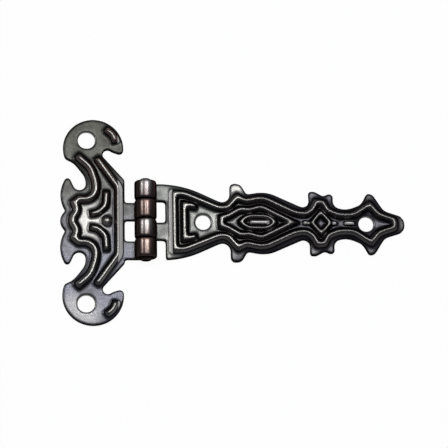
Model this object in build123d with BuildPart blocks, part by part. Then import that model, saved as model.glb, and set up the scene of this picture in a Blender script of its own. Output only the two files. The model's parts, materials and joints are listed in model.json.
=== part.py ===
from build123d import *
from math import atan, degrees
import os

# Decorative strap hinge: two stamped, embossed steel leaves rolled round one pin.
# X runs along the strap to its tip, Y along the pin, Z out of the ornamental face.
# Z = 0 is the back, which lies on the wood; the pin's axis stands over X = 0. Millimetres.

# Sheet and barrel
sheet = 0.9
pin_radius = 1.15
pin_play = 0.05
knuckle_pitch = 3.72
knuckle_gap = 0.12
roll_sweep = 300.0
window_reach = 1.65
pin_proud = 0.1
pin_bevel = 0.3

bore_radius = pin_radius + pin_play
barrel_radius = bore_radius + sheet
barrel_half = 2 * knuckle_pitch
knuckle_length = knuckle_pitch - knuckle_gap
web_edge = barrel_radius + window_reach
web_half = barrel_half - knuckle_gap / 2

# Screw holes
scroll_hole_x = -10.9
scroll_hole_y = 15.7
scroll_hole_radius = 1.6
strap_hole_near = 10.85
strap_hole_far = 41.75
strap_hole_radius = 1.4

# Embossed ridges: half width at the foot, half width of the crest, rise above the sheet
ridge_crest = 0.2
ridge_root = 0.1
broad_ridge = 0.9
ridge = 0.8
slim_ridge = 0.58
fine_ridge = 0.38
scroll_rise = 0.9
strap_rise = 1.0
fine_rise = 0.85
ball_radius = 1.15
ball_rise = 0.8
ball_slope = 42

# The press leaves a narrower furrow in the back under each ridge
furrow_share = 0.55
furrow_depth = 0.75

# Outline of the scroll leaf, upper half
head_centre = (-9.62, 14.14)
head_radius = 5.68
mid_lobe = (-15.75, 0)
mid_lobe_side = (-15.5, 1.05)
nick = (-14.8, 1.9)
horn_side = (-15.72, 4.9)
horn_left = (-15.05, 7.75)
horn_tip = (-14.4, 8.32)
horn_right = (-13.75, 7.8)
scoop_left = (-13.3, 6.8)
scoop_floor = (-12.1, 6.0)
scoop_right = (-11.05, 7.4)
neck_low = (-12.1, 9.75)
neck_high = (-14.1, 11.65)
head_start_angle = 199
head_end_angle = -5
beak_tip = (-4.25, 13.2)
beak_under = (-4.85, 13.03)
hook_right = (-6.25, 13.52)
hook_top = (-7.2, 13.82)
hook_left = (-7.8, 12.6)
shoulder_rise = 0.6

# Crest lines of the scroll leaf's ridges, upper half, with the radius of each bend
scroll_wave = [
    (-13.4, -1), (-13.4, 0.5), (-12.45, 1.95), (-13.1, 3.35), (-12.2, 4.12),
    (-9.1, 3.95), (-9.1, 7.2), (-10.1, 10.3), (-12.9, 12.75),
]
scroll_wave_bends = [1.2, 1.2, 0, 0, 2.2, 5, 4]
bracket = [(-5.0, -1), (-5.0, 6.4), (-9.2, 12.4)]
bracket_bends = [1.5]
claw = [(-10.5, 1.2), (-8.7, 1.55), (-7.35, 2.9), (-7.15, 6.0)]
claw_bends = [1.5, 1.5]
beak_ridge = [(-7.5, 18.0), (-5.95, 16.75), (-5.35, 15.0)]
beak_ridge_bends = [1.6]
ball_x = -7.1

# Outline of the strap, upper half, from the barrel to the tip, with the radius of each bend
strap_shoulder_drop = 0.41
strap_outline = [
    (web_edge, web_half), (7.75, web_half - strap_shoulder_drop), (15.95, 3.2),
    (15.85, 7.78), (18.0, 7.62), (19.15, 5.62), (22.8, 6.25),
    (31.08, 2.55), (30.74, 6.45), (32.2, 6.3), (33.7, 5.4), (35.78, 6.45), (35.48, 3.35),
    (38.1, 2.78), (40.9, 3.85), (42.15, 6.2), (43.3, 5.85), (45.3, 2.7),
    (48.4, 1.72), (49.18, 0.75), (49.18, 0),
]
strap_bends = [17, 1.45, 0.95, 1.3, 0, 6, 1.15, 0.65, 1, 0.6, 0.75, 1.4, 4, 2.2, 0.6, 1, 2, 0.6, 0.6]

# Crest lines of the strap's ridges, upper half, with the radius of each bend
near_border = [
    (5.45, -1), (5.45, 5.4), (7.4, 5.3), (13.9, 2.6), (15.5, 2.75),
    (17.3, 4.9), (18.7, 4.05), (22.1, 4.78), (27.06, 2.4),
]
near_border_bends = [0, 3, 2.2, 1.6, 0, 1.5, 4]
far_border = [
    (25.2, 3.29), (28.3, 1.8), (30.35, 1.7), (31.55, 2.6), (32.3, 4.12), (33.55, 3.98), (34.35, 2.4),
    (36.3, 1.6), (39.2, 1.5), (42.5, 3.7), (44.0, 1.75), (47.0, 0.75), (47.35, -1),
]
far_border_bends = [6, 1.5, 1.5, 0, 0, 1.2, 3, 3.5, 0, 2.5, 0]
loop = [(14.25, -1), (14.25, 0.82), (15.4, 1.08), (17.75, 2.5), (19.4, 2.3), (21.7, 3.0), (29.63, -1)]
loop_bends = [0, 2, 1.3, 1.8, 1.6]
oval = [(16.85, -1), (19.0, 1.15), (23.1, 1.15), (25.25, -1)]
oval_bends = [2.6, 2.6]
diamond = [(30.48, -1), (33.0, 2.08), (35.67, -1)]
diamond_bends = [0]
hole_bracket = [(7.3, -1), (7.3, 3.35), (9.9, 2.8)]
hole_bracket_bends = [0]
spine_lines = [(19.5, 23.2), (29.6, 30.6), (35.3, 36.1), (37.4, 39.5)]

scroll_ridges = [
    (scroll_wave, scroll_wave_bends, broad_ridge),
    (bracket, bracket_bends, ridge),
    (claw, claw_bends, ridge),
    (beak_ridge, beak_ridge_bends, ridge),
]
strap_ridges = [
    (near_border, near_border_bends, ridge),
    (far_border, far_border_bends, ridge),
    (loop, loop_bends, ridge),
    (oval, oval_bends, slim_ridge),
    (diamond, diamond_bends, slim_ridge),
    (hole_bracket, hole_bracket_bends, ridge),
]


def upper_half(solid):
    """Keeps what lies above the leaf's centre line."""
    return split(solid, bisect_by=Plane.XZ, keep=Keep.BOTTOM, mode=Mode.PRIVATE)


def press_ridge(crest, bends, half_width, rise):
    """Raises one ridge of trapezoid section along its crest line, and its mirror image."""
    slope = (half_width - ridge_crest) / rise
    with BuildSketch(Plane.XY.offset(sheet - ridge_root)) as foot:
        for side in (Side.LEFT, Side.RIGHT):
            with BuildLine():
                if bends:
                    FilletPolyline(*crest, radius=bends)
                else:
                    Line(*crest)
                offset(amount=half_width + slope * ridge_root, kind=Kind.TANGENT, side=side)
            make_face()
    lean = degrees(atan(slope))
    half = upper_half(extrude(foot.sketch, amount=rise + ridge_root, taper=lean, mode=Mode.PRIVATE))
    add(half)
    mirror(half, about=Plane.XZ)


def sink_furrow(crest, half_width):
    """Cuts the furrow that the die leaves in the back under a ridge, and its mirror image."""
    with BuildSketch(Plane.XY) as mouth:
        for side in (Side.LEFT, Side.RIGHT):
            with BuildLine():
                Polyline(*crest)
                offset(amount=furrow_share * half_width, kind=Kind.TANGENT, side=side)
            make_face()
    half = upper_half(extrude(mouth.sketch, amount=furrow_depth, mode=Mode.PRIVATE))
    add(half, mode=Mode.SUBTRACT)
    mirror(half, about=Plane.XZ, mode=Mode.SUBTRACT)


def roll_knuckle(side, top):
    """Rolls one knuckle from a tab that comes from the given side, down from Y = top."""
    with BuildSketch(Plane.XZ.offset(-top)) as section:
        with BuildLine():
            Polyline((0, sheet), (side * web_edge, sheet), (side * web_edge, 0), (0, 0))
            outer = CenterArc((0, barrel_radius), barrel_radius, -90, -side * roll_sweep)
            inner = CenterArc((0, barrel_radius), bore_radius, -90, -side * roll_sweep)
            Line(outer @ 1, inner @ 1)
        make_face()
    extrude(section.sketch, amount=knuckle_length)


with BuildPart() as scroll_leaf:
    with BuildSketch():
        with BuildLine():
            ThreePointArc(mid_lobe, mid_lobe_side, nick)
            ThreePointArc(nick, horn_side, horn_left)
            ThreePointArc(horn_left, horn_tip, horn_right)
            Line(horn_right, scoop_left)
            ThreePointArc(scoop_left, scoop_floor, scoop_right)
            head = CenterArc(head_centre, head_radius, head_start_angle, head_end_angle - head_start_angle)
            Spline(scoop_right, neck_low, neck_high, head @ 0, tangents=[(0, 1), head % 0])
            ThreePointArc(head @ 1, beak_tip, beak_under)
            Line(beak_under, hook_right)
            ThreePointArc(hook_right, hook_top, hook_left)
            Polyline(hook_left, (-web_edge, barrel_half + shoulder_rise), (-web_edge, 0))
            mirror(about=Plane.XZ)
        make_face()
    extrude(amount=sheet)
    for crest, bends, half_width in scroll_ridges:
        press_ridge(crest, bends, half_width, scroll_rise)
        sink_furrow(crest, half_width)
    with BuildSketch(Plane.XY.offset(sheet)) as ball:
        with Locations((ball_x, 0)):
            Circle(ball_radius)
    extrude(ball.sketch, amount=ball_rise, taper=ball_slope)
    with Locations((scroll_hole_x, scroll_hole_y, sheet), (scroll_hole_x, -scroll_hole_y, sheet)):
        Hole(scroll_hole_radius)
    for top in (knuckle_pitch, -knuckle_pitch):
        roll_knuckle(-1, top - knuckle_gap / 2)

with BuildPart() as strap_leaf:
    with BuildSketch():
        with BuildLine():
            FilletPolyline(*strap_outline, radius=strap_bends)
            Line((web_edge, web_half), (web_edge, 0))
            mirror(about=Plane.XZ)
        make_face()
    extrude(amount=sheet)
    for crest, bends, half_width in strap_ridges:
        press_ridge(crest, bends, half_width, strap_rise)
        sink_furrow(crest, half_width)
    for start, end in spine_lines:
        press_ridge([(start, 0), (end, 0)], [], fine_ridge, fine_rise)
    with Locations((strap_hole_near, 0, sheet), (strap_hole_far, 0, sheet)):
        Hole(strap_hole_radius)
    for top in (barrel_half, 0):
        roll_knuckle(1, top - knuckle_gap / 2)

with BuildPart() as hinge_pin:
    with BuildSketch(Plane.XY.offset(barrel_radius)):
        with BuildLine():
            shank = barrel_half + pin_proud
            Polyline(
                (0, -shank - pin_bevel), (pin_radius - pin_bevel, -shank - pin_bevel), (pin_radius, -shank),
                (pin_radius, shank), (pin_radius - pin_bevel, shank + pin_bevel), (0, shank + pin_bevel),
                close=True,
            )
        make_face()
    revolve(axis=Axis((0, 0, barrel_radius), (0, 1, 0)))

os.makedirs("parts", exist_ok=True)
for name, piece in (("scroll_leaf", scroll_leaf), ("strap_leaf", strap_leaf), ("hinge_pin", hinge_pin)):
    piece.part.label = name
    export_step(piece.part, f"parts/{name}.step")
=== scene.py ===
"""Finish and stage of a small decorative strap hinge: two embossed, antique-black leaves on one pin."""

import json
import math
from typing import NamedTuple

import bpy
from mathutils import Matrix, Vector

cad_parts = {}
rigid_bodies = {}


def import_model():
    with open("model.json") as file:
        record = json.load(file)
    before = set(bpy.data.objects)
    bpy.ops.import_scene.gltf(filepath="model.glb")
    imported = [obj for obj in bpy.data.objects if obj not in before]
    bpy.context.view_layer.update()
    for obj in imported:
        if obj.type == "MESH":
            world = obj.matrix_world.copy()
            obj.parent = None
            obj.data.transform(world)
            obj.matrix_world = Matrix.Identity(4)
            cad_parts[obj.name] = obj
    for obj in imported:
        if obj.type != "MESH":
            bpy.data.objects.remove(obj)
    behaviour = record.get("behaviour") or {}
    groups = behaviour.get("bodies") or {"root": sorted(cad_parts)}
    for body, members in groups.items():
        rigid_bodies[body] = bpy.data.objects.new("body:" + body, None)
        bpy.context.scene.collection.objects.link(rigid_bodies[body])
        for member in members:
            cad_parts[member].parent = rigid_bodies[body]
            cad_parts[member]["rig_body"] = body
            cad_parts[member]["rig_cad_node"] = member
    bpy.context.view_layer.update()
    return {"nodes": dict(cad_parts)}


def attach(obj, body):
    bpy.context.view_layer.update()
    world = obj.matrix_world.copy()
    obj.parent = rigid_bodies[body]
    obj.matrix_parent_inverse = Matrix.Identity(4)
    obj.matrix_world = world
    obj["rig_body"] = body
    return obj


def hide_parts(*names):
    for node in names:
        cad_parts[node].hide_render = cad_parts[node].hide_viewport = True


bl_info = {
    "name": "Strap Hinge Finish",
    "version": (1, 0, 0),
    "blender": (4, 5, 0),
    "location": "View3D > Sidebar > Hinge",
    "description": "Softens and blackens the stamped leaves of a strap hinge, and sets a white stage",
    "category": "Object",
}

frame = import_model()
MM = 0.001


def millimetres(*lengths):
    """Lengths given in millimetres, as metres."""
    return tuple(length * MM for length in lengths)


class Spot(NamedTuple):
    """A round patch of painted light, in millimetres: its middle, where it ends, where it is full, its
    strength.
    """

    middle: tuple
    reach: float
    core: float
    strength: float


class LeafPlating(NamedTuple):
    """What sets one leaf's finish apart; paired colours change over a span of one axis."""

    name: str
    axis: str
    span: tuple
    flats: tuple
    flanks: tuple
    crests: tuple
    crest_heights: tuple
    sheen_spots: tuple
    hole_highlights: tuple
    ball_highlight_spots: tuple
    dashes: tuple
    knuckle: tuple


# Heights over the back: each mask goes from 0 at the first value to 1 at the second
FOOT = millimetres(0.96, 1.08)
FLANK = millimetres(1.12, 1.35)
SCROLL_CREST = millimetres(1.67, 1.735)
STRAP_CREST = millimetres(1.71, 1.79)
# BELOW_FACE and ABOVE_BACK bound the rounded rims of the sheet, which get painted shade
BELOW_FACE = millimetres(0.89, 0.8)
ABOVE_BACK = millimetres(0.15, 0.3)
DASH_RISE = millimetres(1.1, 1.3)
ROLL_RISE = millimetres(0.9, 1.1)
# ROLL_TOP: the knuckles' tops take a painted highlight, their lower sides painted shade
ROLL_TOP = millimetres(3.7, 4.15)

# Distances from the pin's axis and from the centre line, read in the same way
# PAST_BARREL: how far from the pin's axis the painted reflection on the barrel-facing feet reaches
PAST_BARREL = millimetres(4.9, 5.2)
OVER_PIN = millimetres(2.6, 2.2)
NEAR_CENTRE_LINE = millimetres(0.36, 0.2)

# Where the leaves' colours change, across the scroll leaf and along the strap, and how far that wanders;
# along the strap this paints sheen next to the barrel and shade towards the tip
SCROLL_CHANGE = millimetres(-14, 14)
STRAP_CHANGE = millimetres(14, 20)
WANDER = 12 * MM

# Painted sheen on the flats and painted highlights on the screw holes' edges and on the ball, in
# millimetres
FACE = 0.9
MID_SHEET = 0.45
SCROLL_SHEEN_SPOTS = (
    Spot((-9.8, 0, FACE), 4.6, 1.2, 0.75),
    Spot((-12.5, -18.0, FACE), 5.5, 2.0, 0.3),
)
STRAP_LOBES = ((31.3, 5.9), (35.3, 5.9), (42.3, 5.6))
STRAP_SHEEN_SPOTS = (
    Spot((16.8, 7.3, FACE), 3.2, 1.0, 0.85),
    Spot((4.4, -5.4, FACE), 3.5, 1.0, 0.6),
    Spot((13.2, 0, FACE), 2.6, 0.4, 0.3),
    *(Spot((x, side * y, FACE), 2.0, 0.4, 0.15) for x, y in STRAP_LOBES for side in (1, -1)),
    Spot((49.0, 0, FACE), 2.6, 0.4, 0.5),
)
SCROLL_HOLE_HIGHLIGHTS = tuple(Spot((-10.9, y, MID_SHEET), 2.0, 1.8, 1.0) for y in (15.7, -15.7))
STRAP_HOLE_HIGHLIGHTS = tuple(Spot((x, 0, MID_SHEET), 1.8, 1.6, 1.0) for x in (10.85, 41.75))
SCROLL_BALL_HIGHLIGHT = (Spot((-7.1, 0, 1.6), 1.2, 0.9, 1.0),)

# Dashes on the strap's centre line, with a painted highlight: where each starts and ends, how softly, and
# how far the painted highlight replaces the metal
STRAP_DASHES = tuple(
    millimetres(start, end) for start, end in ((19.5, 23.2), (29.4, 30.8), (35.3, 36.4), (37.4, 39.6))
)
DASH_FADE_OUTSIDE = 0.2 * MM
DASH_FADE_INSIDE = 0.1 * MM
DASH_PAINTED_SHARE = 0.6

# Painted highlight on the knuckles: it rises from seam to seam, here as shares of the pitch, and stops
# short of the barrel's ends, which keep painted shade
KNUCKLES_EACH_WAY = 2
KNUCKLE_HIGHLIGHT_RISE = (0.1, 0.9)
KNUCKLE_HIGHLIGHT_LEVELS = (0.2, 1.0)
END_SHADE_EDGE = 0.05 * MM
END_SHADE_DEPTH = 0.25 * MM

# Plated steel: scales of the grain and of the clouding, stains, gloss and the fine bump
LEAF_GRAIN = (4200, 220)
PIN_GRAIN = (3000, 400)
GRAIN_DETAIL = 4.0
CLOUD_DETAIL = 3.0
STAIN = (0.46, 0.66)
STAIN_LEVELS = (0.0, 0.5)
GRAIN_SPAN = (0.2, 0.8)
LEAF_ROUGHNESS = (0.28, 0.38)
PIN_ROUGHNESS = (0.28, 0.42)
SPECK_GREY = (0.8, 0.8, 0.8, 1)
EDGE_TINT = (0.2, 0.2, 0.2, 1)
LACQUER_WEIGHT = 0.5
LACQUER_ROUGHNESS = 0.12
BUMP_STRENGTH = 0.25
BUMP_DEPTH = 0.02 * MM

# Points of the CAD mesh nearer than this are one point
WELD = 0.0005 * MM

# Stage: camera, softboxes, floor and room
VIEW_CENTRE = Vector((14.85, -0.07, 0.0)) * MM
CLIP_START = 10 * MM
LAMP_AIM = Vector((8, 0, 0)) * MM
LEFT_LAMP_PLACE = Vector((-8, 75, 320)) * MM
RIGHT_LAMP_PLACE = Vector((85, 85, 310)) * MM
SIDE_LAMP_PLACE = Vector((-200, 85, 240)) * MM
FLOOR_DROP = 0.02 * MM
FLOOR_PAINT = (0.9, 0.9, 0.9, 1)
SHADOW_SHARE = 0.04
ROOM_COLOUR = (0.82, 0.86, 1.0, 1)
ROOM_STRENGTH = 0.25

# Layout of the node trees, and the sockets that a Mix node uses for colours
NODE_ROWS = 8
NODE_WIDTH = 220
NODE_HEIGHT = 260
SURFACE_PLACE = (3400, 0)
OUTPUT_PLACE = (3700, 0)
MIX_FACTOR = 0
MIX_FIRST = 6
MIX_SECOND = 7
MIX_RESULT = 2


class HingeShapeSettings(bpy.types.PropertyGroup):
    """How finely the stamped metal is remeshed and how softly the die rounds it."""

    scroll_voxel: bpy.props.FloatProperty(
        name="Scroll mesh", description="Mesh size of the scroll leaf",
        default=0.1 * MM, unit="LENGTH", precision=6,
    )
    strap_voxel: bpy.props.FloatProperty(
        name="Strap mesh", description="Mesh size of the strap",
        default=0.11 * MM, unit="LENGTH", precision=6,
    )
    pin_voxel: bpy.props.FloatProperty(
        name="Pin mesh", description="Mesh size of the pin",
        default=0.1 * MM, unit="LENGTH", precision=6,
    )
    scroll_passes: bpy.props.IntProperty(
        name="Scroll softness", description="Smoothing passes on the scroll leaf's ridges and edges",
        default=68,
    )
    strap_passes: bpy.props.IntProperty(
        name="Strap softness", description="Smoothing passes on the strap's ridges and edges",
        default=84,
    )
    pin_passes: bpy.props.IntProperty(
        name="Pin softness", description="Smoothing passes on the ends of the pin",
        default=10,
    )
    faces_kept: bpy.props.FloatProperty(
        name="Faces kept", description="Share of the leaves' fine faces that stay, mostly on the ridges",
        default=0.52, subtype="FACTOR", min=0, max=1,
    )
    knuckle_pitch: bpy.props.FloatProperty(
        name="Knuckle pitch", description="Distance from seam to seam along the barrel",
        default=3.72 * MM, unit="LENGTH",
    )


class HingeFinishSettings(bpy.types.PropertyGroup):
    """Colours of the antique black plating, with painted sheen, highlights and shade among them."""

    scroll_violet: bpy.props.FloatVectorProperty(
        name="Scroll low", description="Bluish flats of the lower scroll",
        subtype="COLOR", size=4, default=(0.072, 0.072, 0.085, 1),
    )
    scroll_olive: bpy.props.FloatVectorProperty(
        name="Scroll high", description="Olive flats of the upper scroll",
        subtype="COLOR", size=4, default=(0.053, 0.053, 0.047, 1),
    )
    # Painted sheen on the strap's flats next to the barrel, painted shade towards the tip
    strap_sheen: bpy.props.FloatVectorProperty(
        name="Strap root", description="Bright flats next to the barrel",
        subtype="COLOR", size=4, default=(0.1, 0.102, 0.097, 1),
    )
    strap_shaded: bpy.props.FloatVectorProperty(
        name="Strap tip", description="Darker flats towards the strap's tip",
        subtype="COLOR", size=4, default=(0.045, 0.043, 0.05, 1),
    )
    # Shared black: real stains and the pin's dark clouds, antique patina plus painted shade at the ridges'
    # feet, painted shade on the rounded rims
    stain_and_shade_black: bpy.props.FloatVectorProperty(
        name="Foot", description="Blackened feet of the ridges and rolled-over rims",
        subtype="COLOR", size=4, default=(0.012, 0.011, 0.011, 1),
    )
    flank_grey: bpy.props.FloatVectorProperty(
        name="Scroll flank low", description="Flanks of the lower scroll's ridges",
        subtype="COLOR", size=4, default=(0.13, 0.125, 0.125, 1),
    )
    flank_brown: bpy.props.FloatVectorProperty(
        name="Scroll flank high", description="Browner flanks of the upper scroll's ridges",
        subtype="COLOR", size=4, default=(0.15, 0.115, 0.1, 1),
    )
    flank_dark: bpy.props.FloatVectorProperty(
        name="Strap flank", description="Dark flanks of the strap's ridges",
        subtype="COLOR", size=4, default=(0.065, 0.06, 0.06, 1),
    )
    # Painted reflection: a bright, non-metal colour on the ridge feet that face the barrel, where the
    # lamps' reflection would be
    barrel_side_reflection: bpy.props.FloatVectorProperty(
        name="Barrel side", description="Bare flanks that face the barrel",
        subtype="COLOR", size=4, default=(0.72, 0.7, 0.67, 1),
    )
    # Painted sheen on the flats and painted highlight on the screw holes' edges
    sheen_steel: bpy.props.FloatVectorProperty(
        name="Worn steel", description="Rubbed flats and the bare edges of the screw holes",
        subtype="COLOR", size=4, default=(0.27, 0.265, 0.25, 1),
    )
    crest_bright: bpy.props.FloatVectorProperty(
        name="Crest", description="Rubbed crests of the scroll leaf and next to the barrel",
        subtype="COLOR", size=4, default=(0.24, 0.235, 0.22, 1),
    )
    # Painted shade: crests duller towards the strap's tip
    crest_shaded: bpy.props.FloatVectorProperty(
        name="Far crest", description="Duller crests towards the strap's tip",
        subtype="COLOR", size=4, default=(0.12, 0.115, 0.11, 1),
    )
    # Painted highlight on the dashes
    dash_highlight: bpy.props.FloatVectorProperty(
        name="Dashes", description="Rubbed dashes on the strap's centre line",
        subtype="COLOR", size=4, default=(0.75, 0.73, 0.7, 1),
    )
    # Painted highlight on the ball
    ball_painted_highlight: bpy.props.FloatVectorProperty(
        name="Ball", description="Rubbed ball in the middle of the scroll leaf",
        subtype="COLOR", size=4, default=(0.26, 0.25, 0.23, 1),
    )
    knuckle_shade: bpy.props.FloatVectorProperty(
        name="Knuckle sides", description="Dark sides of the knuckles, and lighter clouds on the pin",
        subtype="COLOR", size=4, default=(0.05, 0.036, 0.032, 1),
    )
    # The knuckles' own colours show as a painted highlight on the tops of the rolls
    knuckle_brown: bpy.props.FloatVectorProperty(
        name="Scroll knuckles", description="Brown of the scroll leaf's knuckles",
        subtype="COLOR", size=4, default=(0.15, 0.1, 0.085, 1),
    )
    knuckle_gunmetal: bpy.props.FloatVectorProperty(
        name="Strap knuckles", description="Gunmetal of the strap's knuckles",
        subtype="COLOR", size=4, default=(0.25, 0.232, 0.225, 1),
    )


class HingeStageSettings(bpy.types.PropertyGroup):
    """Camera, softboxes and floor."""

    camera_azimuth: bpy.props.FloatProperty(
        name="Azimuth", description="Turn of the camera's place about the upright",
        default=math.radians(-23.5), subtype="ANGLE",
    )
    camera_elevation: bpy.props.FloatProperty(
        name="Elevation", description="Height of the camera's line of sight",
        default=math.radians(73), subtype="ANGLE",
    )
    camera_roll: bpy.props.FloatProperty(
        name="Roll", description="Turn of the picture about the line of sight",
        default=math.radians(23.24), subtype="ANGLE",
    )
    camera_distance: bpy.props.FloatProperty(
        name="Distance", description="From the camera to the hinge", default=330 * MM, unit="LENGTH",
    )
    view_width: bpy.props.FloatProperty(
        name="View width", description="Width that the picture covers at the hinge",
        default=83.87 * MM, unit="LENGTH",
    )
    left_power: bpy.props.FloatProperty(
        name="Left lamp", description="Power of the left softbox", default=0.24, unit="POWER",
    )
    right_power: bpy.props.FloatProperty(
        name="Right lamp", description="Power of the right softbox", default=0.26, unit="POWER",
    )
    side_power: bpy.props.FloatProperty(
        name="Side lamp", description="Power of the softbox beside the scroll leaf",
        default=0.2, unit="POWER",
    )
    lamp_size: bpy.props.FloatProperty(
        name="Lamp size", description="Width of each softbox", default=50 * MM, unit="LENGTH",
    )
    floor_size: bpy.props.FloatProperty(
        name="Floor", description="Width of the floor", default=2.0, unit="LENGTH",
    )


def feed(socket, value):
    """Links a socket to another one, or sets it to a plain value."""
    if isinstance(value, bpy.types.NodeSocket):
        socket.id_data.links.new(value, socket)
    else:
        socket.default_value = value


def add_node(tree, kind, **values):
    """Adds one shader node in the next place of the tree's layout, and sets its fields."""
    node = tree.nodes.new(kind)
    column, row = divmod(len(tree.nodes), NODE_ROWS)
    node.location = (column * NODE_WIDTH, -row * NODE_HEIGHT)
    for field, value in values.items():
        setattr(node, field, value)
    return node


def ramp_between(tree, source, span, levels=(0.0, 1.0)):
    """A smooth mask that goes from the first to the second level while its source crosses the span."""
    step = add_node(tree, "ShaderNodeMapRange", interpolation_type="SMOOTHSTEP")
    feed(step.inputs["Value"], source)
    for name, value in zip(("From Min", "From Max", "To Min", "To Max"), (*span, *levels)):
        feed(step.inputs[name], value)
    return step.outputs["Result"]


def mix_colour(tree, mask, first, second, blend="MIX"):
    """Mixes two colours, each a socket or a plain colour, by a mask."""
    mix = add_node(tree, "ShaderNodeMix", data_type="RGBA", blend_type=blend)
    feed(mix.inputs[MIX_FACTOR], mask)
    feed(mix.inputs[MIX_FIRST], first)
    feed(mix.inputs[MIX_SECOND], second)
    return mix.outputs[MIX_RESULT]


def combine(tree, operation, *values):
    """One math node on up to three values, each a socket or a number."""
    node = add_node(tree, "ShaderNodeMath", operation=operation)
    for socket, value in zip(node.inputs, values):
        feed(socket, value)
    return node.outputs[0]


def start_group(name, inputs, outputs):
    """A new shader group with its named sockets: the group, its entry and its exit."""
    group = bpy.data.node_groups.new(name, "ShaderNodeTree")
    for side, socket_names in (("INPUT", inputs), ("OUTPUT", outputs)):
        for socket_name in socket_names:
            group.interface.new_socket(socket_name, in_out=side, socket_type="NodeSocketFloat")
    return group, add_node(group, "NodeGroupInput"), add_node(group, "NodeGroupOutput")


def make_relief_group():
    """Masks of the stamped relief, by height over the back: rims, ridge feet, flanks and crests."""
    group, entry, leave = start_group(
        "StampedRelief", ("Crest Low", "Crest High"),
        ("Rim", "Foot", "Flank", "Crest", "Along", "Across", "Height"),
    )
    place = add_node(group, "ShaderNodeTexCoord")
    axes = add_node(group, "ShaderNodeSeparateXYZ")
    feed(axes.inputs[0], place.outputs["Object"])
    height = axes.outputs["Z"]
    below_face = ramp_between(group, height, BELOW_FACE)
    above_back = ramp_between(group, height, ABOVE_BACK)
    crest_span = (entry.outputs["Crest Low"], entry.outputs["Crest High"])
    feed(leave.inputs["Rim"], combine(group, "MULTIPLY", below_face, above_back))
    feed(leave.inputs["Foot"], ramp_between(group, height, FOOT))
    feed(leave.inputs["Flank"], ramp_between(group, height, FLANK))
    feed(leave.inputs["Crest"], ramp_between(group, height, crest_span))
    feed(leave.inputs["Along"], axes.outputs["X"])
    feed(leave.inputs["Across"], axes.outputs["Y"])
    feed(leave.inputs["Height"], height)
    return group


def make_grain_group():
    """Fine grain of tumbled and plated steel, with broader clouding."""
    group, entry, leave = start_group("PlatedGrain", ("Grain Scale", "Cloud Scale"), ("Grain", "Cloud"))
    place = add_node(group, "ShaderNodeTexCoord")
    for name, detail in (("Grain", GRAIN_DETAIL), ("Cloud", CLOUD_DETAIL)):
        noise = add_node(group, "ShaderNodeTexNoise")
        noise.inputs["Detail"].default_value = detail
        feed(noise.inputs["Vector"], place.outputs["Object"])
        feed(noise.inputs["Scale"], entry.outputs[f"{name} Scale"])
        feed(leave.inputs[name], noise.outputs["Fac"])
    return group


def place_group(tree, group, values):
    """Puts a shared group into a material, sets its inputs in their order, and gives its outputs."""
    node = add_node(tree, "ShaderNodeGroup", node_tree=group)
    for socket, value in zip(node.inputs, values):
        socket.default_value = value
    return node.outputs


def start_plating(name):
    """A new material, its node tree and its shader, which reflects little at a grazing angle."""
    material = bpy.data.materials.new(name)
    material.use_nodes = True
    tree = material.node_tree
    surface = tree.nodes["Principled BSDF"]
    surface.location = SURFACE_PLACE
    surface.inputs["Specular Tint"].default_value = EDGE_TINT
    tree.nodes["Material Output"].location = OUTPUT_PLACE
    return material, tree, surface


def spot_mask(tree, place, spots):
    """A mask of round patches of painted light."""
    mask = 0.0
    for spot in spots:
        apart = add_node(tree, "ShaderNodeVectorMath", operation="DISTANCE")
        apart.inputs[1].default_value = Vector(spot.middle) * MM
        feed(apart.inputs[0], place)
        span = millimetres(spot.reach, spot.core)
        lit_part = ramp_between(tree, apart.outputs["Value"], span, (0.0, spot.strength))
        mask = combine(tree, "MAXIMUM", mask, lit_part)
    return mask


def dash_mask(tree, relief, dashes):
    """A mask of the short raised dashes on the strap's centre line."""
    mask = 0.0
    for start, end in dashes:
        from_start = (start - DASH_FADE_OUTSIDE, start + DASH_FADE_INSIDE)
        to_end = (end + DASH_FADE_OUTSIDE, end - DASH_FADE_INSIDE)
        begun = ramp_between(tree, relief["Along"], from_start)
        ended = ramp_between(tree, relief["Along"], to_end)
        mask = combine(tree, "MAXIMUM", mask, combine(tree, "MULTIPLY", begun, ended))
    near = ramp_between(tree, combine(tree, "ABSOLUTE", relief["Across"]), NEAR_CENTRE_LINE)
    risen = ramp_between(tree, relief["Height"], DASH_RISE)
    return combine(tree, "MULTIPLY", combine(tree, "MULTIPLY", mask, near), risen)


def knuckle_masks(tree, relief, off_axis):
    """Where the sheet is rolled round the pin, and the painted highlight on the tops of the rolls, rising
    from seam to seam and fading at the barrel's ends.
    """
    over_pin = ramp_between(tree, off_axis, OVER_PIN)
    rolled = combine(tree, "MULTIPLY", over_pin, ramp_between(tree, relief["Height"], ROLL_RISE))
    top = ramp_between(tree, relief["Height"], ROLL_TOP)
    pitch = bpy.context.scene.hinge_shape.knuckle_pitch
    from_seam = combine(tree, "FRACT", combine(tree, "DIVIDE", relief["Across"], pitch))
    lit_part = ramp_between(tree, from_seam, KNUCKLE_HIGHLIGHT_RISE, KNUCKLE_HIGHLIGHT_LEVELS)
    barrel_half = KNUCKLES_EACH_WAY * pitch
    end_shade = (barrel_half - END_SHADE_EDGE, barrel_half - END_SHADE_DEPTH)
    inside_ends = ramp_between(tree, combine(tree, "ABSOLUTE", relief["Across"]), end_shade)
    knuckle_lit = combine(tree, "MULTIPLY", combine(tree, "MULTIPLY", top, lit_part), inside_ends)
    return rolled, knuckle_lit


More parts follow.
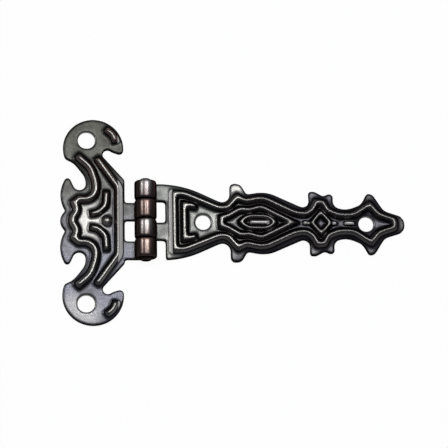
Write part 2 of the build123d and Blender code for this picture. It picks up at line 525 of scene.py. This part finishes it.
def make_leaf_finish(plating, relief_group, grain_group):
    """Antique black plating: black feet (patina and painted shade), painted shade on the rims, painted
    sheen on the flats, crests bright from rubbing, knuckles with painted highlight and painted shade.
    """
    finish = bpy.context.scene.hinge_finish
    material, tree, surface = start_plating(plating.name)
    place = add_node(tree, "ShaderNodeTexCoord").outputs["Object"]
    relief = place_group(tree, relief_group, plating.crest_heights)
    speck = place_group(tree, grain_group, LEAF_GRAIN)

    # The paired colours change along the leaf's axis, on a border that wanders with the clouding; on the
    # strap the pairs are painted sheen near the barrel and painted shade towards the tip
    drift = combine(tree, "MULTIPLY_ADD", speck["Cloud"], WANDER, -WANDER / 2)
    change = ramp_between(tree, combine(tree, "ADD", relief[plating.axis], drift), plating.span)
    plain = mix_colour(tree, change, *plating.flats)
    flank = mix_colour(tree, change, *plating.flanks)
    crest = mix_colour(tree, change, *plating.crests)

    # Flats, stained and with painted sheen, then the relief from its feet to its crests
    stain = ramp_between(tree, speck["Cloud"], STAIN, STAIN_LEVELS)
    stained = mix_colour(tree, stain, plain, finish.stain_and_shade_black)
    # Painted sheen on the flats, in round patches
    flat = mix_colour(tree, spot_mask(tree, place, plating.sheen_spots), stained, finish.sheen_steel)
    # Next to the barrel the ridges' feet get a painted reflection, non-metal; further out they are black,
    # from patina and painted shade
    off_axis = combine(tree, "ABSOLUTE", relief["Along"])
    past_barrel = ramp_between(tree, off_axis, PAST_BARREL)
    facing = mix_colour(tree, past_barrel, finish.barrel_side_reflection, finish.stain_and_shade_black)
    outlined = mix_colour(tree, relief["Foot"], flat, facing)
    far_flank = combine(tree, "MULTIPLY", relief["Flank"], past_barrel)
    flanked = mix_colour(tree, far_flank, outlined, flank)
    # Rims: painted shade, with a painted highlight at the screw holes' edges
    at_hole = spot_mask(tree, place, plating.hole_highlights)
    edge = mix_colour(tree, at_hole, finish.stain_and_shade_black, finish.sheen_steel)
    rimmed = mix_colour(tree, relief["Rim"], flanked, edge)
    colour = mix_colour(tree, relief["Crest"], rimmed, crest)
    far_foot = combine(tree, "MULTIPLY", relief["Foot"], past_barrel)
    lit = combine(tree, "SUBTRACT", relief["Foot"], far_foot)

    # Painted highlight on the dashes
    if plating.dashes:
        on_dash = dash_mask(tree, relief, plating.dashes)
        colour = mix_colour(tree, on_dash, colour, finish.dash_highlight)
        lit = combine(tree, "MULTIPLY_ADD", on_dash, DASH_PAINTED_SHARE, lit)
    # Painted highlight on the ball
    if plating.ball_highlight_spots:
        colour = mix_colour(tree, spot_mask(tree, place, plating.ball_highlight_spots), colour, finish.ball_painted_highlight)

    # Knuckles: painted highlight on the tops of the rolls, painted shade on their sides and at the
    # barrel's ends
    rolled, knuckle_lit = knuckle_masks(tree, relief, off_axis)
    barrel = mix_colour(tree, knuckle_lit, finish.knuckle_shade, plating.knuckle)
    colour = mix_colour(tree, rolled, colour, barrel)
    feed(surface.inputs["Base Color"], mix_colour(tree, speck["Grain"], colour, SPECK_GREY, "MULTIPLY"))

    # The lacquer coat lies only where the painted highlight is
    lit_roll = combine(tree, "MULTIPLY", rolled, knuckle_lit)
    feed(surface.inputs["Coat Weight"], combine(tree, "MULTIPLY", lit_roll, LACQUER_WEIGHT))
    surface.inputs["Coat Roughness"].default_value = LACQUER_ROUGHNESS
    # The painted reflection and the dashes' painted highlight turn the metal off, except on the rolls
    lit_off_roll = combine(tree, "SUBTRACT", lit, rolled)
    lit_off_roll.node.use_clamp = True
    feed(surface.inputs["Metallic"], combine(tree, "SUBTRACT", 1.0, lit_off_roll))
    feed(surface.inputs["Roughness"], ramp_between(tree, speck["Grain"], GRAIN_SPAN, LEAF_ROUGHNESS))
    bump = add_node(tree, "ShaderNodeBump")
    bump.inputs["Strength"].default_value = BUMP_STRENGTH
    bump.inputs["Distance"].default_value = BUMP_DEPTH
    feed(bump.inputs["Height"], speck["Grain"])
    feed(surface.inputs["Normal"], bump.outputs["Normal"])
    return material


def make_pin_finish(grain_group):
    """Brown-black steel of the pin's ends."""
    finish = bpy.context.scene.hinge_finish
    material, tree, surface = start_plating("pin_steel_finish")
    surface.inputs["Metallic"].default_value = 1.0
    speck = place_group(tree, grain_group, PIN_GRAIN)
    clouded = mix_colour(tree, speck["Cloud"], finish.stain_and_shade_black, finish.knuckle_shade)
    feed(surface.inputs["Base Color"], clouded)
    feed(surface.inputs["Roughness"], ramp_between(tree, speck["Grain"], GRAIN_SPAN, PIN_ROUGHNESS))
    return material


def select_only(piece):
    """Deselects everything and makes one object active."""
    bpy.ops.object.select_all(action="DESELECT")
    piece.select_set(True)
    bpy.context.view_layer.objects.active = piece


def soften(node_name, piece_name, voxel, passes, kept=1.0):
    """Copies a CAD node, welds it, remeshes it evenly, rounds its edges and thins out its flats."""
    select_only(frame["nodes"][node_name])
    bpy.ops.object.duplicate()
    piece = bpy.context.active_object
    piece.name = piece_name
    piece.data.name = piece_name
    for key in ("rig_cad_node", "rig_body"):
        del piece[key]
    bpy.ops.object.parent_clear(type="CLEAR_KEEP_TRANSFORM")
    bpy.ops.object.mode_set(mode="EDIT")
    bpy.ops.mesh.select_all(action="SELECT")
    bpy.ops.mesh.remove_doubles(threshold=WELD)
    bpy.ops.object.mode_set(mode="OBJECT")
    remesh = piece.modifiers.new("Even mesh", "REMESH")
    remesh.mode = "VOXEL"
    remesh.voxel_size = voxel
    bpy.ops.object.modifier_apply(modifier=remesh.name)
    smooth = piece.modifiers.new("Rounded by the die", "SMOOTH")
    smooth.iterations = passes
    bpy.ops.object.modifier_apply(modifier=smooth.name)
    if kept < 1:
        thin = piece.modifiers.new("Fewer faces on the flats", "DECIMATE")
        thin.ratio = kept
        bpy.ops.object.modifier_apply(modifier=thin.name)
    bpy.ops.object.shade_smooth()
    piece.data.materials.clear()
    return piece


class HINGE_OT_stamp_leaves(bpy.types.Operator):
    """Makes the two stamped leaves with their plated finish"""

    bl_idname = "hinge.stamp_leaves"
    bl_label = "Stamp leaves"

    def execute(self, context):
        shape = context.scene.hinge_shape
        finish = context.scene.hinge_finish
        relief = make_relief_group()
        grain = make_grain_group()
        scroll = LeafPlating(
            name="scroll_finish",
            axis="Across",
            span=SCROLL_CHANGE,
            flats=(finish.scroll_violet, finish.scroll_olive),
            flanks=(finish.flank_grey, finish.flank_brown),
            crests=(finish.crest_bright, finish.crest_bright),
            crest_heights=SCROLL_CREST,
            sheen_spots=SCROLL_SHEEN_SPOTS,
            hole_highlights=SCROLL_HOLE_HIGHLIGHTS,
            ball_highlight_spots=SCROLL_BALL_HIGHLIGHT,
            dashes=(),
            knuckle=finish.knuckle_brown,
        )
        strap = LeafPlating(
            name="strap_finish",
            axis="Along",
            span=STRAP_CHANGE,
            flats=(finish.strap_sheen, finish.strap_shaded),
            flanks=(finish.flank_dark, finish.flank_dark),
            crests=(finish.crest_bright, finish.crest_shaded),
            crest_heights=STRAP_CREST,
            sheen_spots=STRAP_SHEEN_SPOTS,
            hole_highlights=STRAP_HOLE_HIGHLIGHTS,
            ball_highlight_spots=(),
            dashes=STRAP_DASHES,
            knuckle=finish.knuckle_gunmetal,
        )
        for node_name, piece_name, body, plating, voxel, passes in (
            ("scroll_leaf", "scroll_plate", "plate", scroll, shape.scroll_voxel, shape.scroll_passes),
            ("strap_leaf", "strap_plate", "strap", strap, shape.strap_voxel, shape.strap_passes),
        ):
            leaf = soften(node_name, piece_name, voxel, passes, shape.faces_kept)
            leaf.data.materials.append(make_leaf_finish(plating, relief, grain))
            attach(leaf, body)
            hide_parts(node_name)
        return {"FINISHED"}


class HINGE_OT_fit_pin(bpy.types.Operator):
    """Makes the pin with its rounded ends"""

    bl_idname = "hinge.fit_pin"
    bl_label = "Fit pin"

    def execute(self, context):
        shape = context.scene.hinge_shape
        pin = soften("hinge_pin", "barrel_pin", shape.pin_voxel, shape.pin_passes)
        pin.data.materials.append(make_pin_finish(bpy.data.node_groups["PlatedGrain"]))
        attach(pin, "plate")
        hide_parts("hinge_pin")
        return {"FINISHED"}


def make_floor_finish():
    """White floor that keeps a faint shadow."""
    material = bpy.data.materials.new("white_floor")
    material.use_nodes = True
    tree = material.node_tree
    tree.nodes.clear()
    path = add_node(tree, "ShaderNodeLightPath")
    seen = combine(tree, "MAXIMUM", path.outputs["Is Camera Ray"], path.outputs["Is Glossy Ray"])
    seen = combine(tree, "MAXIMUM", seen, path.outputs["Is Transmission Ray"])
    paint = add_node(tree, "ShaderNodeBsdfDiffuse")
    paint.inputs["Color"].default_value = FLOOR_PAINT
    glow = add_node(tree, "ShaderNodeEmission")
    shaded = add_node(tree, "ShaderNodeMixShader")
    shaded.inputs[0].default_value = SHADOW_SHARE
    feed(shaded.inputs[1], glow.outputs[0])
    feed(shaded.inputs[2], paint.outputs[0])
    chosen = add_node(tree, "ShaderNodeMixShader")
    feed(chosen.inputs[0], seen)
    feed(chosen.inputs[1], paint.outputs[0])
    feed(chosen.inputs[2], shaded.outputs[0])
    output = add_node(tree, "ShaderNodeOutputMaterial")
    feed(output.inputs["Surface"], chosen.outputs[0])
    return material


def aim(thing, target):
    """Turns a lamp or a camera towards a point."""
    thing.rotation_euler = (target - thing.location).to_track_quat("-Z", "Y").to_euler()


class HINGE_OT_set_stage(bpy.types.Operator):
    """Sets the floor, the three softboxes, the dim room and the camera"""

    bl_idname = "hinge.set_stage"
    bl_label = "Set stage"

    def execute(self, context):
        stage = context.scene.hinge_stage

        bpy.ops.object.select_all(action="DESELECT")
        bpy.ops.mesh.primitive_plane_add(size=stage.floor_size, location=(0, 0, -FLOOR_DROP))
        floor = context.active_object
        floor.name = "floor"
        floor.data.materials.append(make_floor_finish())

        for name, place, power in (
            ("softbox_left", LEFT_LAMP_PLACE, stage.left_power),
            ("softbox_right", RIGHT_LAMP_PLACE, stage.right_power),
            ("softbox_side", SIDE_LAMP_PLACE, stage.side_power),
        ):
            bpy.ops.object.light_add(type="AREA", location=place)
            lamp = context.active_object
            lamp.name = name
            lamp.data.energy = power
            lamp.data.size = stage.lamp_size
            aim(lamp, LAMP_AIM)

        world = context.scene.world or bpy.data.worlds.new("room")
        context.scene.world = world
        world.use_nodes = True
        air = world.node_tree.nodes["Background"]
        air.inputs["Color"].default_value = ROOM_COLOUR
        air.inputs["Strength"].default_value = ROOM_STRENGTH

        reach = stage.camera_distance
        rise = stage.camera_elevation
        turn = stage.camera_azimuth
        back = Vector((math.sin(turn) * math.cos(rise), -math.cos(turn) * math.cos(rise), math.sin(rise)))
        bpy.ops.object.camera_add(location=VIEW_CENTRE + reach * back)
        camera = context.active_object
        camera.name = "photo_camera"
        camera.data.lens = camera.data.sensor_width * reach / stage.view_width
        camera.data.clip_start = CLIP_START
        aim(camera, VIEW_CENTRE)
        camera.rotation_euler.rotate_axis("Z", stage.camera_roll)
        context.scene.camera = camera
        context.scene.view_settings.view_transform = "Standard"
        return {"FINISHED"}


class HINGE_PT_tools(bpy.types.Panel):
    """Lists the steps of the hinge's finish"""

    bl_idname = "HINGE_PT_tools"
    bl_label = "Strap hinge"
    bl_space_type = "VIEW_3D"
    bl_region_type = "UI"
    bl_category = "Hinge"

    def draw(self, context):
        column = self.layout.column()
        for operator in hinge_operators:
            column.operator(operator.bl_idname)


setting_groups = (
    ("hinge_shape", HingeShapeSettings),
    ("hinge_finish", HingeFinishSettings),
    ("hinge_stage", HingeStageSettings),
)
hinge_operators = (HINGE_OT_stamp_leaves, HINGE_OT_fit_pin, HINGE_OT_set_stage)
tool_classes = (*hinge_operators, HINGE_PT_tools)


def register():
    for name, group in setting_groups:
        bpy.utils.register_class(group)
        setattr(bpy.types.Scene, name, bpy.props.PointerProperty(type=group))
    for tool in tool_classes:
        bpy.utils.register_class(tool)


def unregister():
    for tool in reversed(tool_classes):
        bpy.utils.unregister_class(tool)
    for name, group in reversed(setting_groups):
        delattr(bpy.types.Scene, name)
        bpy.utils.unregister_class(group)


def main():
    register()
    bpy.ops.hinge.stamp_leaves()
    bpy.ops.hinge.fit_pin()
    bpy.ops.hinge.set_stage()


if __name__ == "__main__":
    main()
